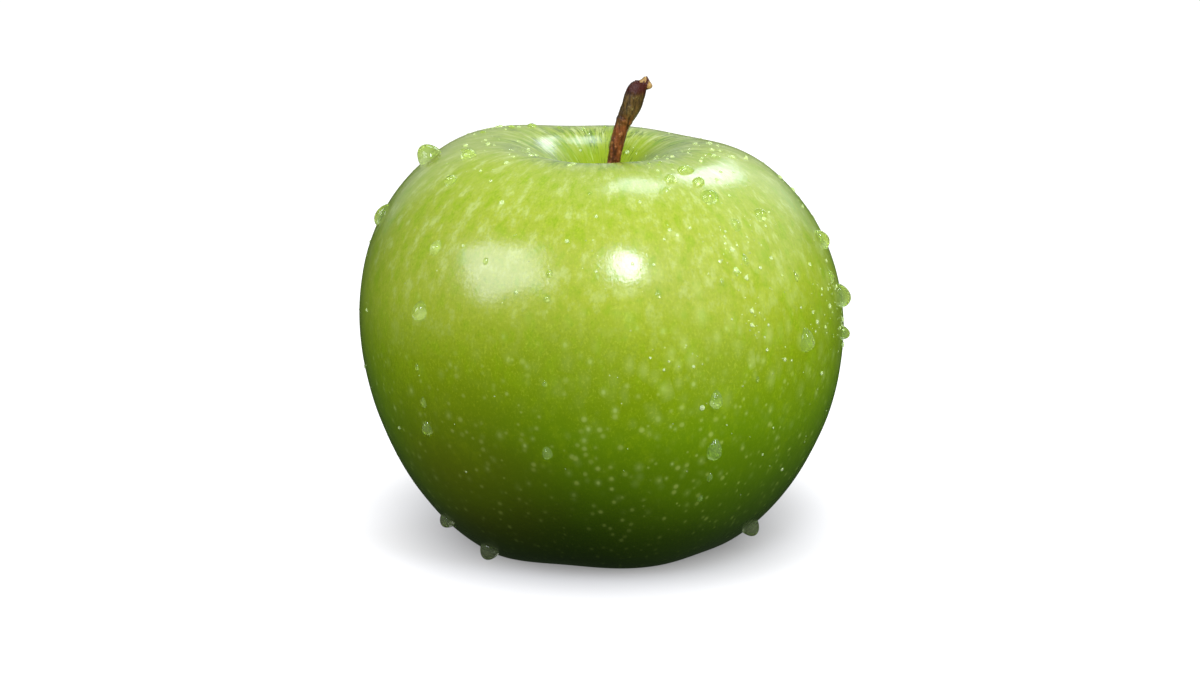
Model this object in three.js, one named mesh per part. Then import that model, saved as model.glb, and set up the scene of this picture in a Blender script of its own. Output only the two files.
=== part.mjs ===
// A ripe green apple: the fruit with its five soft ribs, stem hollow and calyx basin,
// its woody stem, the dried flower remains in the basin, and the larger water beads
// on the skin. Millimetres, +Z up, standing on its base with the front facing -Y.
import * as THREE from "three";
import { mergeVertices } from "three/addons/utils/BufferGeometryUtils.js";

// ---- Driving dimensions -------------------------------------------------------------

// The fruit. A place on its skin is given by two angles: fall, from 0 at the foot of
// the stem to PI in the calyx basin, and turn, about +Z from +X.
const girthRadius = 38.8; // before the taper widens the shoulders
const taper = 0.31; // how much wider the shoulders are than the base
const halfHeight = 42.5;
const sideSag = 0.16; // lowers the widest level
const squareness = 0.02; // fills out the shoulders and the base
const changeover = 2.2; // how sharply the upper half's shape gives way to the lower one's
const middleHeight = 34.4;
const hollow = { deep: 15.8, wide: 10.3, throatDeep: 3.5, throatWide: 4 };
const basin = { deep: 14.4, wide: 13.3, eyeDeep: 4.5, eyeWide: 6.5 };
const rib = { count: 5, shoulderOut: 0.25, baseOut: 1, shoulderUp: 0.3, footDown: 0.4 };
const shoulderRing = { radius: 25, sharpness: 3 }; // the highest part of the shoulders
const footRing = { radius: 15, sharpness: 2 }; // the ring that the fruit rests on
const saddle = { high: 0.6, turn: THREE.MathUtils.degToRad(-27) }; // two opposite high shoulders
const lean = { left: 1, rightDrop: 1.2, backDrop: 2.5, height: 70 };
const footTrim = 1.35; // pressed flat where the fruit rests

// The stem, from its foot in the hollow to the broken end.
const stemPath = [
  [-0.75, 0, 57.7],
  [0.1, 0.3, 60.3],
  [1.75, 0.4, 64.1],
  [3, 0.2, 69.7],
  [4.6, 0, 74.2],
  [6.1, 0, 78.2],
];
const stemRadii = [1.35, 1.15, 1.1, 1.1, 1.1, 1.12, 1.2, 1.38, 1.68, 1.62, 1.1];
const stemFlatness = 0.92; // its depth over its width
const splinter = { high: 0.55, turn: 0.3 }; // at the broken end

// The dried flower remains.
const sepal = { count: 5, ring: 2.5, down: 1.9, hang: 2.5, wide: 2.6, tipShare: 0.25, thick: 0.5 };
const sepalBow = { out: 1.7, bend: 2.4 }; // how far, and through what angle, it bends
const tuft = { high: 2.4, radius: 1.1, pleats: 8, pleatDepth: 0.15, fullness: 0.6 };

// Water beads: fall and turn in degrees, then width, length down the skin and height.
const frontBeads = [
  [35, 176, 5, 4.4, 2.3],
  [51, -178, 2.2, 4.2, 0.9],
  [27.5, -156, 3, 3, 1.1],
  [35.5, -146, 2.1, 2.4, 0.9],
  [51.5, -135, 2.1, 3, 0.7],
  [65.5, -135, 2.9, 3.5, 1.2],
  [90.5, -135, 1.9, 2.5, 0.9],
  [119.5, -152, 3.4, 2.8, 1.1],
  [130, -141, 3.6, 3.2, 1.6],
  [93, -103, 1.8, 2.4, 0.8],
  [26, -49, 3.3, 2.3, 0.7],
  [29, -61, 2, 2.2, 0.8],
  [31, -50, 2.1, 2.1, 0.8],
  [36, -51, 3.5, 3.1, 1.2],
  [43, -36, 2.3, 2.6, 1],
  [44, -48, 1.7, 2.6, 0.8],
  [54, -9, 2.4, 3.8, 1.1],
  [67.5, -7, 3, 4.3, 1.5],
  [75.5, -8, 2, 2.4, 1],
  [72.5, -34, 3, 4.1, 1.4],
  [81.5, -63, 2.2, 3.4, 1.1],
  [93, -62, 2.6, 4, 1.3],
  [125, -18, 3.8, 3.2, 1.5],
];
const backBeads = [
  [33, 118, 2.8, 2.9, 1.1],
  [47, 62, 3.2, 3.6, 1.3],
  [58, 137, 2.1, 2.8, 0.9],
  [70, 96, 2.8, 3.9, 1.3],
  [76, 24, 2.2, 3.2, 1],
  [88, 156, 2, 2.9, 0.9],
  [97, 71, 2.4, 3.7, 1.2],
];

const bead = { domeShare: 0.7, fuller: 0.2 }; // rows in the dome; extra at the lower end

const gap = 0.3; // between pieces that touch

// ---- Surfaces -----------------------------------------------------------------------

// A sphere's mesh with each vertex moved to place(share, turn): share runs from 0 at one
// pole to 1 at the other, and turn once around the line between them.
function closedSurface(columns, rows, place) {
  const geometry = new THREE.SphereGeometry(1, columns, rows);
  const { position, uv } = geometry.attributes;
  for (let i = 0; i < position.count; i++) {
    const point = place(1 - uv.getY(i), 2 * Math.PI * uv.getX(i));
    position.setXYZ(i, point.x, point.y, point.z);
  }
  geometry.deleteAttribute("uv");
  geometry.deleteAttribute("normal");
  const merged = mergeVertices(geometry, 1e-4);
  merged.computeVertexNormals();
  return merged;
}

// A smooth band around the axis: 0 on it, 1 at the ring's radius, and dying away outside.
function band(ring, { radius, sharpness }) {
  const ratio = (ring / radius) ** 2;
  return (ratio * Math.exp(1 - ratio)) ** sharpness;
}

// The place on the skin at an angle of fall and turn.
function skinPoint(fall, turn) {
  const level = Math.cos(fall);
  const upper = 0.5 + 0.5 * Math.tanh(changeover * level);
  const lower = 1 - upper;
  const ribs = Math.cos(rib.count * turn);
  const ring = girthRadius * Math.sin(fall) * (1 + taper * level);

  const body = level - sideSag * Math.sin(fall) ** 2 - squareness * Math.cos(3 * fall);
  const cup = hollow.deep / (1 + (ring / hollow.wide) ** 2);
  const throat = hollow.throatDeep / (1 + (ring / hollow.throatWide) ** 2) ** 2;
  const dish = basin.deep / (1 + (ring / basin.wide) ** 2) ** 1.5;
  const eye = basin.eyeDeep / (1 + (ring / basin.eyeWide) ** 4);
  const shoulder = upper * band(ring, shoulderRing);
  const foot = lower * band(ring, footRing);
  const high =
    middleHeight +
    halfHeight * body -
    upper * (cup + throat) +
    lower * (dish + eye) +
    shoulder * (rib.shoulderUp * ribs + saddle.high * Math.cos(2 * turn - saddle.turn)) -
    foot * rib.footDown * ribs;

  const ribOut = rib.shoulderOut * upper + rib.baseOut * lower;
  const out = ring * (1 + (ribOut / girthRadius) * Math.sin(fall) * ribs);
  const x = out * Math.cos(turn);
  const y = out * Math.sin(turn);
  const rise = high / lean.height;
  const tilt = (lean.rightDrop * x + lean.backDrop * -y) / girthRadius;
  return new THREE.Vector3(
    x - lean.left * rise,
    y,
    Math.max(high - rise * rise * tilt - footTrim, 0),
  );
}

// The skin's outward direction and its two directions along the surface, with the
// distance that one radian of fall and of turn covers there.
function skinFrame(fall, turn) {
  const step = 1e-3;
  const down = skinPoint(fall + step, turn).sub(skinPoint(fall - step, turn));
  const across = skinPoint(fall, turn + step).sub(skinPoint(fall, turn - step));
  const perFall = down.length() / (2 * step);
  const perTurn = across.length() / (2 * step);
  return { out: down.cross(across).normalize(), perFall, perTurn };
}

// ---- Pieces -------------------------------------------------------------------------

function material(color, roughness) {
  return new THREE.MeshStandardMaterial({ color, roughness, metalness: 0 });
}
const skinMaterial = material(0x8fb52c, 0.25);
const barkMaterial = material(0x5d3a22, 0.6);
const driedMaterial = material(0x6b5136, 0.9);
const waterMaterial = material(0xdfeee0, 0.05);

const apple = new THREE.Group();
apple.name = "apple";

function addPiece(name, geometry, pieceMaterial) {
  const mesh = new THREE.Mesh(geometry, pieceMaterial);
  mesh.name = name;
  apple.add(mesh);
}

// The rows of the fruit lie closer together in the hollow and in the basin.
function fruitGeometry() {
  const crowding = 0.3;
  return closedSurface(60, 50, (share, turn) => {
    const fall = Math.PI * share - crowding * Math.sin(2 * Math.PI * share);
    return skinPoint(fall, turn);
  });
}

// A round bar along a curve. endShare of the rows at each pole closes the end, and
// endLift(turn) raises the edge of the far end.
function barGeometry(columns, rows, path, radiusAt, flatness, endLift) {
  const endShare = 1 / rows;
  return closedSurface(columns, rows, (share, turn) => {
    const along = THREE.MathUtils.clamp((share - endShare) / (1 - 2 * endShare), 0, 1);
    const closing = Math.min(1, share / endShare, (1 - share) / endShare);
    const centre = path.getPointAt(1 - along);
    const tangent = path.getTangentAt(1 - along);
    const side = new THREE.Vector3(0, 1, 0).cross(tangent).normalize();
    const front = tangent.clone().cross(side);
    const radius = Math.round(closing) * radiusAt(1 - along);
    centre.addScaledVector(side, radius * Math.cos(turn));
    centre.addScaledVector(front, radius * flatness * Math.sin(turn));
    const lifted = along === 0 ? Math.round(closing) * endLift(turn) : 0;
    return centre.addScaledVector(tangent, lifted);
  });
}

function stemGeometry() {
  const path = new THREE.CatmullRomCurve3(stemPath.map((p) => new THREE.Vector3(...p)));
  const radii = new THREE.SplineCurve(stemRadii.map((r, i) => new THREE.Vector2(i, r)));
  const splinters = (turn) =>
    splinter.high * (1 + Math.cos(2 * (turn - splinter.turn)) * Math.cos(turn));
  return barGeometry(12, 24, path, (t) => radii.getPoint(t).y, stemFlatness, splinters);
}

// One dried sepal: a thin pointed leaf that hangs from the basin floor, bows outwards
// and closes in again at its tip.
function sepalGeometry(index) {
  const heading = (2 * Math.PI * (index + 0.5)) / sepal.count;
  const outward = new THREE.Vector3(Math.cos(heading), Math.sin(heading), 0);
  const sideways = new THREE.Vector3(-outward.y, outward.x, 0);
  const floor = skinPoint(Math.PI, 0);
  const endShare = 0.2; // of the length, over which each end closes
  return closedSurface(8, 9, (share, turn) => {
    const closing = Math.min(1, share / endShare, (1 - share) / endShare);
    const wide = THREE.MathUtils.lerp(sepal.wide, sepal.wide * sepal.tipShare, share) * closing;
    const thick = sepal.thick * closing;
    const bow = sepal.ring + sepalBow.out * Math.sin(sepalBow.bend * share);
    return new THREE.Vector3(floor.x, floor.y, floor.z - sepal.down - sepal.hang * share)
      .addScaledVector(outward, bow + (thick / 2) * Math.cos(turn))
      .addScaledVector(sideways, (wide / 2) * Math.sin(turn));
  });
}

// The withered stamens between the sepals, as one pleated bundle.
function tuftGeometry() {
  const floor = skinPoint(Math.PI, 0);
  return closedSurface(16, 8, (share, turn) => {
    const pleat = 1 + tuft.pleatDepth * Math.cos(tuft.pleats * turn);
    const radius = tuft.radius * Math.sin(Math.PI * share) ** tuft.fullness * pleat;
    const below = gap + tuft.high * share;
    return new THREE.Vector3(
      floor.x + radius * Math.cos(turn),
      floor.y + radius * Math.sin(turn),
      floor.z - below,
    );
  });
}

// A water bead: a dome over the skin, fuller at its lower end, whose underside follows
// the skin at the gap.
function beadGeometry([fallDegrees, turnDegrees, wide, long, tall]) {
  const fall = THREE.MathUtils.degToRad(fallDegrees);
  const turn = THREE.MathUtils.degToRad(turnDegrees);
  const { perFall, perTurn } = skinFrame(fall, turn);
  return closedSurface(10, 7, (share, around) => {
    const rise = Math.max(0, 1 - share / bead.domeShare) * (Math.PI / 2);
    const under = Math.max(0, (share - bead.domeShare) / (1 - bead.domeShare));
    const spread = under > 0 ? 1 - under : Math.cos(rise);
    const downhill = spread * Math.cos(around);
    const across = spread * Math.sin(around) * (1 + bead.fuller * downhill);
    const placeFall = fall + (downhill * long) / 2 / perFall;
    const placeTurn = turn + (across * wide) / 2 / perTurn;
    const dome = under > 0 ? 0 : tall * Math.sin(rise) * (1 + bead.fuller * downhill);
    const { out } = skinFrame(placeFall, placeTurn);
    return skinPoint(placeFall, placeTurn).addScaledVector(out, gap + dome);
  });
}

// ---- The apple ----------------------------------------------------------------------

addPiece("fruit", fruitGeometry(), skinMaterial);
addPiece("stem", stemGeometry(), barkMaterial);
for (let i = 0; i < sepal.count; i++) {
  addPiece(`sepal_${i + 1}`, sepalGeometry(i), driedMaterial);
}
addPiece("stamen_tuft", tuftGeometry(), driedMaterial);
[...frontBeads, ...backBeads].forEach((sizes, i) => {
  const number = String(i + 1).padStart(2, "0");
  addPiece(`water_bead_${number}`, beadGeometry(sizes), waterMaterial);
});

// The origin is at the middle of the bounding box, on the surface that the apple stands on.
const bounds = new THREE.Box3().setFromObject(apple);
const middle = bounds.getCenter(new THREE.Vector3());
apple.position.set(-middle.x, -middle.y, -bounds.min.z);

export default apple;
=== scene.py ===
"""A wet green apple on a white sweep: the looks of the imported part, in metres, in its frame.

The fruit's skin is a surface given by a rule, made by Geometry Nodes. The water beads, the
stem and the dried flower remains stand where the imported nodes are.
"""

import math

import bpy
from mathutils import Matrix, Quaternion, Vector, noise
from mathutils.bvhtree import BVHTree


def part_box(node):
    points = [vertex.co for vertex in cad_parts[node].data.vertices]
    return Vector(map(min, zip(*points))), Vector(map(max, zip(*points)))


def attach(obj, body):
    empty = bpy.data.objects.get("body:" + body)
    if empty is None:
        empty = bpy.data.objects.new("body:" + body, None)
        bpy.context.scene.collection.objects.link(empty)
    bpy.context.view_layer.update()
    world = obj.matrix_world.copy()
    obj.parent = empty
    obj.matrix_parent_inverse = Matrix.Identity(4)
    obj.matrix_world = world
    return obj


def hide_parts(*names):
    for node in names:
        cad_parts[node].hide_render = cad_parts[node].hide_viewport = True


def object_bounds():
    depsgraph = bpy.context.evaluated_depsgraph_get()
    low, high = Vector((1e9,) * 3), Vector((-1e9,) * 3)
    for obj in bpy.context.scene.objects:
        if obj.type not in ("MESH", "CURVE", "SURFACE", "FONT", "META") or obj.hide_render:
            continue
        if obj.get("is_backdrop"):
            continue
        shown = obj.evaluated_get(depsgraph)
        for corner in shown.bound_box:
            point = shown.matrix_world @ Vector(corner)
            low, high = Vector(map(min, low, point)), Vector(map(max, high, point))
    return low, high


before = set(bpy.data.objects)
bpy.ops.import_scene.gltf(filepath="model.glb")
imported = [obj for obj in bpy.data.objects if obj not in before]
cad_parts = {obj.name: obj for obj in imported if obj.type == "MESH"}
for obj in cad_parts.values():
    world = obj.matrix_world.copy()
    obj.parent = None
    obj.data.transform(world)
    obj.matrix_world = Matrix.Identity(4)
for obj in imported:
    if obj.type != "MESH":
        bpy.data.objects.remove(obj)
cad_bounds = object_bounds()

MM = 0.001
FRUIT_LOW, FRUIT_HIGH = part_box("fruit")

# The fruit's own rule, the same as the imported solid's. Lengths in metres.
SKIN_SIZES = {
    "Girth radius": 0.0388,
    "Half height": 0.0425,
    "Middle height": 0.0344,
    "Hollow depth": 0.0158,
    "Hollow width": 0.0103,
    "Throat depth": 0.0035,
    "Throat width": 0.004,
    "Basin depth": 0.0144,
    "Basin width": 0.0133,
    "Eye depth": 0.0045,
    "Eye width": 0.0065,
    "Rib on shoulder": 0.00025,
    "Rib on base": 0.001,
    "Rib height": 0.0003,
    "Foot bumps": 0.0004,
    "Saddle height": 0.0006,
    "Lean left": 0.001,
    "Right drop": 0.0012,
    "Back drop": 0.0025,
    "Foot trim": 0.00135,
    "Unevenness": 0.00016,
}
SKIN_COLUMNS = 372
SKIN_ROWS = 250
ROW_CROWDING = 0.3  # how much closer the rows lie in the hollow and in the basin
RIBS = 5
SEPALS = 5
TAPER = 0.31  # how much wider the upper half is than the lower one
SIDE_SAG = 0.16  # how far the sides are drawn down, as a share of the half height
SQUARENESS = 0.02  # how much squarer the shoulders and the foot are than a ball's
CHANGEOVER = 2.2  # how sharply the upper half's shape gives way to the lower one's
SHOULDER_RING = (0.025, 3)  # radius and sharpness of the highest part of the shoulders
FOOT_RING = (0.015, 2)  # the same of the ring that the fruit rests on
SADDLE_TURN = math.radians(-27)  # twice the angle of the shoulders' highest side
LEAN_HEIGHT = 0.07  # the height at which the lean and the drops count in full
FOOT_SOFTNESS = 0.0004  # how gently the skin bends into the flat under the foot


# ---- Node trees ---------------------------------------------------------------------


class Term:
    """A number inside a node tree. Arithmetic on it adds Math nodes."""

    def __init__(self, net, socket):
        self.net = net
        self.socket = socket

    def __add__(self, other):
        return self.net.math("ADD", self, other)

    def __sub__(self, other):
        return self.net.math("SUBTRACT", self, other)

    def __mul__(self, other):
        return self.net.math("MULTIPLY", self, other)

    def __truediv__(self, other):
        return self.net.math("DIVIDE", self, other)

    def __pow__(self, other):
        return self.net.math("POWER", self, other)

    def __rsub__(self, other):
        return self.net.math("SUBTRACT", other, self)

    def __rtruediv__(self, other):
        return self.net.math("DIVIDE", other, self)

    __radd__ = __add__
    __rmul__ = __mul__


class Net:
    """One node tree while it is being built."""

    def __init__(self, tree):
        self.tree = tree

    def add(self, kind, settings=None, **inputs):
        """A new node, with its settings and its inputs; an underscore stands for a space."""
        node = self.tree.nodes.new(kind)
        for name, value in (settings or {}).items():
            setattr(node, name, value)
        for name, value in inputs.items():
            self.feed(node, name.replace("_", " "), value)
        return node

    def feed(self, node, name, value):
        """Sets or links the enabled input of that name or number."""
        if isinstance(name, int):
            socket = node.inputs[name]
        else:
            socket = next(s for s in node.inputs if s.name == name and s.enabled)
        if isinstance(value, Term):
            value = value.socket
        if isinstance(value, bpy.types.NodeSocket):
            self.tree.links.new(value, socket)
        else:
            socket.default_value = value

    def out(self, node, name=0):
        """An enabled output of the node as a Term."""
        if isinstance(name, int):
            return Term(self, [s for s in node.outputs if s.enabled][name])
        return Term(self, next(s for s in node.outputs if s.name == name and s.enabled))

    def math(self, operation, *values):
        node = self.add("ShaderNodeMath", {"operation": operation})
        for number, value in enumerate(values):
            self.feed(node, number, value)
        return self.out(node)

    def vector(self, operation, *values):
        node = self.add("ShaderNodeVectorMath", {"operation": operation})
        for number, value in enumerate(values):
            self.feed(node, number, value)
        return self.out(node)

    def scaled(self, vector, factor):
        node = self.add("ShaderNodeVectorMath", {"operation": "SCALE"}, Scale=factor)
        self.feed(node, 0, vector)
        return self.out(node)

    def combine(self, x, y, z):
        return self.out(self.add("ShaderNodeCombineXYZ", X=x, Y=y, Z=z))

    def separate(self, vector):
        node = self.add("ShaderNodeSeparateXYZ", Vector=vector)
        return [self.out(node, axis) for axis in "XYZ"]

    def step(self, value, low, high, start=0.0, end=1.0):
        """A smooth step from start to end as value goes from low to high."""
        settings = {"interpolation_type": "SMOOTHSTEP"}
        node = self.add("ShaderNodeMapRange", settings, Value=value)
        for name, number in (("From Min", low), ("From Max", high)):
            self.feed(node, name, number)
        for name, number in (("To Min", start), ("To Max", end)):
            self.feed(node, name, number)
        return self.out(node)

    def noise(self, vector, scale, detail=2.0, roughness=0.5):
        node = self.add("ShaderNodeTexNoise", Vector=vector, Scale=scale, Detail=detail)
        self.feed(node, "Roughness", roughness)
        return self.out(node)

    def mix(self, share, first, second, blend="MIX"):
        """A colour between two others."""
        settings = {"data_type": "RGBA", "blend_type": blend}
        node = self.add("ShaderNodeMix", settings)
        self.feed(node, "Factor", share)
        self.feed(node, "A", first)
        self.feed(node, "B", second)
        return self.out(node)


def new_group(name, kind, inputs, outputs):
    """An empty node group with its sockets, as (tree, net, inputs by name, output node)."""
    tree = bpy.data.node_groups.new(name, kind)
    for label, (socket_type, default) in inputs.items():
        socket = tree.interface.new_socket(label, in_out="INPUT", socket_type=socket_type)
        if default is not None:
            socket.default_value = default
    for label, socket_type in outputs.items():
        tree.interface.new_socket(label, in_out="OUTPUT", socket_type=socket_type)
    net = Net(tree)
    source = tree.nodes.new("NodeGroupInput")
    given = {label: Term(net, source.outputs[label]) for label in inputs}
    return tree, net, given, tree.nodes.new("NodeGroupOutput")


def grown(name, tree, values, start_mesh=None):
    """A plain mesh object from a Geometry Nodes tree, with its named inputs set."""
    start = bpy.data.objects.new(name + "_rule", start_mesh or bpy.data.meshes.new(name))
    bpy.context.scene.collection.objects.link(start)
    modifier = start.modifiers.new(name, "NODES")
    modifier.node_group = tree
    for socket in tree.interface.items_tree:
        if socket.in_out == "INPUT" and socket.name in values:
            modifier[socket.identifier] = values[socket.name]
    graph = bpy.context.evaluated_depsgraph_get()
    mesh = bpy.data.meshes.new_from_object(start.evaluated_get(graph))
    mesh.name = name
    bpy.data.objects.remove(start)
    piece = bpy.data.objects.new(name, mesh)
    bpy.context.scene.collection.objects.link(piece)
    return piece


FLOAT = "NodeSocketFloat"
VECTOR = "NodeSocketVector"
GEOMETRY = "NodeSocketGeometry"


# ---- The fruit ----------------------------------------------------------------------


def band(net, ring, radius, sharpness):
    """0 on the axis, 1 at the radius, and dying away outside."""
    ratio = (ring / radius) ** 2
    return (ratio * net.math("EXPONENT", 1 - ratio)) ** sharpness


def skin_rule(net, size, fall, turn):
    """The place on the skin at an angle down from the stem and an angle round the axis."""
    level = net.math("COSINE", fall)
    across = net.math("SINE", fall)
    upper = net.math("TANH", level * CHANGEOVER) * 0.5 + 0.5
    lower = 1 - upper
    ribs = net.math("COSINE", turn * RIBS)
    ring = size["Girth radius"] * across * (level * TAPER + 1)

    body = level - across * across * SIDE_SAG - net.math("COSINE", fall * 3) * SQUARENESS
    cup = size["Hollow depth"] / ((ring / size["Hollow width"]) ** 2 + 1)
    throat = size["Throat depth"] / ((ring / size["Throat width"]) ** 2 + 1) ** 2
    dish = size["Basin depth"] / ((ring / size["Basin width"]) ** 2 + 1) ** 1.5
    eye = size["Eye depth"] / ((ring / size["Eye width"]) ** 4 + 1)
    shoulder = upper * band(net, ring, *SHOULDER_RING)
    foot = lower * band(net, ring, *FOOT_RING)
    saddle = net.math("COSINE", turn * 2 - SADDLE_TURN) * size["Saddle height"]
    high = size["Middle height"] + size["Half height"] * body
    high = high - upper * (cup + throat) + lower * (dish + eye)
    high = high + shoulder * (ribs * size["Rib height"] + saddle)
    high = high - foot * ribs * size["Foot bumps"]

    rib_out = size["Rib on shoulder"] * upper + size["Rib on base"] * lower
    out = ring * (rib_out / size["Girth radius"] * across * ribs + 1)
    x = out * net.math("COSINE", turn)
    y = out * net.math("SINE", turn)
    rise = high / LEAN_HEIGHT
    tilt = (size["Right drop"] * x - size["Back drop"] * y) / size["Girth radius"]
    level_top = high - rise * rise * tilt - size["Foot trim"]
    rounded = net.math("SQRT", level_top * level_top + FOOT_SOFTNESS**2)
    return net.combine(x - size["Lean left"] * rise, y, (level_top + rounded) * 0.5)


def skin_tree():
    """Geometry Nodes: a closed sphere whose points are moved onto the fruit's rule."""
    inputs = {name: (FLOAT, value) for name, value in SKIN_SIZES.items()}
    inputs["Columns"] = ("NodeSocketInt", SKIN_COLUMNS)
    inputs["Rows"] = ("NodeSocketInt", SKIN_ROWS)
    inputs["Skin"] = ("NodeSocketMaterial", None)
    tree, net, size, end = new_group(
        "Fruit skin", "GeometryNodeTree", inputs, {"Geometry": GEOMETRY}
    )
    ball = net.add("GeometryNodeMeshUVSphere", Segments=size["Columns"], Rings=size["Rows"])
    place = net.out(net.add("GeometryNodeInputPosition"))
    x, y, z = net.separate(place)
    polar = net.math("ARCCOSINE", net.math("MINIMUM", net.math("MAXIMUM", z, -1.0), 1.0))
    fall = polar - net.math("SINE", polar * 2) * ROW_CROWDING
    turn = net.math("ARCTAN2", y, x)
    shaped = net.add(
        "GeometryNodeSetPosition",
        Geometry=net.out(ball, "Mesh"),
        Position=skin_rule(net, size, fall, turn),
    )
    normal = net.out(net.add("GeometryNodeInputNormal"))
    lumps = net.noise(place, 75.0, detail=1.0) - 0.5
    off_floor = net.step(net.separate(place)[2], 0.001, 0.008)
    lifted = net.scaled(normal, lumps * size["Unevenness"] * 2 * off_floor)
    uneven = net.add(
        "GeometryNodeSetPosition", Geometry=net.out(shaped), Offset=lifted
    )
    real = net.add("GeometryNodeRealizeInstances", Geometry=net.out(uneven))
    smooth = net.add("GeometryNodeSetShadeSmooth", Geometry=net.out(real))
    painted = net.add("GeometryNodeSetMaterial", Geometry=net.out(smooth))
    net.feed(painted, "Material", size["Skin"])
    net.feed(end, "Geometry", net.out(painted))
    return tree


def box_of(mesh):
    """(lowest corner, highest corner) of a mesh."""
    corners = [[f(v.co[i] for v in mesh.vertices) for i in range(3)] for f in (min, max)]
    return Vector(corners[0]), Vector(corners[1])


def make_fruit(skin):
    """The skin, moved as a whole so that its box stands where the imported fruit's does."""
    piece = grown("fruit_skin", skin_tree(), {**SKIN_SIZES, "Skin": skin})
    low, high = box_of(piece.data)
    shift = (FRUIT_LOW + FRUIT_HIGH - low - high) / 2
    shift.z = FRUIT_LOW.z - low.z
    piece.data.transform(Matrix.Translation(shift))
    return piece, shift


# ---- Materials ----------------------------------------------------------------------


def rgb(red, green, blue):
    """A display colour, 0 to 255, as linear light."""
    shares = [value / 255 for value in (red, green, blue)]
    linear = [s / 12.92 if s <= 0.04045 else ((s + 0.055) / 1.055) ** 2.4 for s in shares]
    return (*linear, 1.0)


def new_material(name):
    """An empty material, its net and its Principled shader."""
    material = bpy.data.materials.new(name)
    material.use_nodes = True
    net = Net(material.node_tree)
    shader = material.node_tree.nodes["Principled BSDF"]
    return material, net, shader


def bump(net, height, distance):
    """A normal that follows a height, with its depth in metres."""
    return net.out(net.add("ShaderNodeBump", Height=height, Distance=distance, Strength=1.0))


def placed(net, group, **inputs):
    """A shader node group placed in a material."""
    node = net.add("ShaderNodeGroup", {"node_tree": group})
    for name, value in inputs.items():
        net.feed(node, name.replace("_", " "), value)
    return node


def specks_group():
    """Round specks, one in most cells of a scatter: a bright core and a faint halo."""
    tree, net, given, end = new_group(
        "Specks",
        "ShaderNodeTree",
        {
            "Vector": (VECTOR, None),
            "Spacing": (FLOAT, 0.003),
            "Core": (FLOAT, 0.0003),
            "Halo": (FLOAT, 0.0008),
            "Bare share": (FLOAT, 0.2),
        },
        {"Core": FLOAT, "Halo": FLOAT},
    )
    cells = net.add("ShaderNodeTexVoronoi", {"voronoi_dimensions": "3D"})
    net.feed(cells, "Vector", given["Vector"])
    net.feed(cells, "Scale", 1.0 / given["Spacing"])
    distance = net.out(cells, "Distance") * given["Spacing"]
    chance, own_size, own_depth = net.separate(net.out(cells, "Color"))
    size = own_size * 0.8 + 0.5
    there = net.math("GREATER_THAN", chance, given["Bare share"]) * (own_depth * 0.6 + 0.4)
    for label, inner_share in (("Core", 0.3), ("Halo", 0.0)):
        radius = given[label] * size
        net.feed(end, label, net.step(distance, radius * inner_share, radius, 1.0, 0.0) * there)
    return tree


def meridian_group():
    """Coordinates in metres along and round the fruit, so that a pattern on them runs
    from the stem to the eye. Stretch makes the pattern longer."""
    tree, net, given, end = new_group(
        "Meridians",
        "ShaderNodeTree",
        {"Vector": (VECTOR, None), "Stretch": (FLOAT, 2.0)},
        {"Vector": VECTOR, "Radius": FLOAT},
    )
    girth, middle = 0.04, 0.033
    x, y, z = net.separate(given["Vector"])
    radius = net.math("SQRT", x * x + y * y) + 1e-5
    fall = net.math("ARCTAN2", radius, z - middle)
    along = fall * girth / given["Stretch"]
    net.feed(end, "Vector", net.combine(x / radius * girth, y / radius * girth, along))
    net.feed(end, "Radius", radius)
    return tree


# The skin's ground colour, from the base (height share 0) to the stem (1), as linear light. Its
# darkening towards the base is painted shade.
SKIN_GROUND_AND_PAINTED_SHADE = [
    (0.00, (0.010, 0.023, 0.0010)),
    (0.11, (0.026, 0.055, 0.0008)),
    (0.24, (0.063, 0.126, 0.0006)),
    (0.38, (0.098, 0.180, 0.0006)),
    (0.54, (0.144, 0.210, 0.0008)),
    (0.68, (0.205, 0.256, 0.0120)),
    (0.82, (0.206, 0.250, 0.0190)),
    (0.95, (0.205, 0.260, 0.0280)),
]
FULL_HEIGHT = 0.0692

# What is laid over the ground, as linear light.
SKIN_TONES = {
    "deep patch": (0.152, 0.240, 0.001, 1),
    "pale patch": (0.34, 0.40, 0.15, 1),
    "light grain": (0.36, 0.43, 0.03, 1),
    "dark grain": (0.06, 0.13, 0.002, 1),
    # pale streaks, partly a painted sheen
    "streak_and_sheen": (0.42, 0.50, 0.17, 1),
    "large pore": (0.36, 0.46, 0.12, 1),
    # a darker copy of the pore, in the painted shade at the base
    "pore in the painted shade at the base": (0.085, 0.125, 0.020, 1),
    "small pore": (0.31, 0.39, 0.08, 1),
    "green slope": (0.110, 0.200, 0.003, 1),
    "pale slope": (0.40, 0.47, 0.22, 1),
    "hollow floor": (0.160, 0.232, 0.002, 1),
    # painted sheen of wet skin
    "painted wet sheen": (0.34, 0.44, 0.10, 1),
    "hollow line": (0.050, 0.095, 0.005, 1),
    "blush": (0.095, 0.070, 0.004, 1),
    "russet": (0.120, 0.088, 0.030, 1),
    # painted shade towards the sides and at the edges
    "painted side shade": (0.74, 0.93, 0.80, 1),
    "edge": (0.008, 0.026, 0.008, 1),
}


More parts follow.
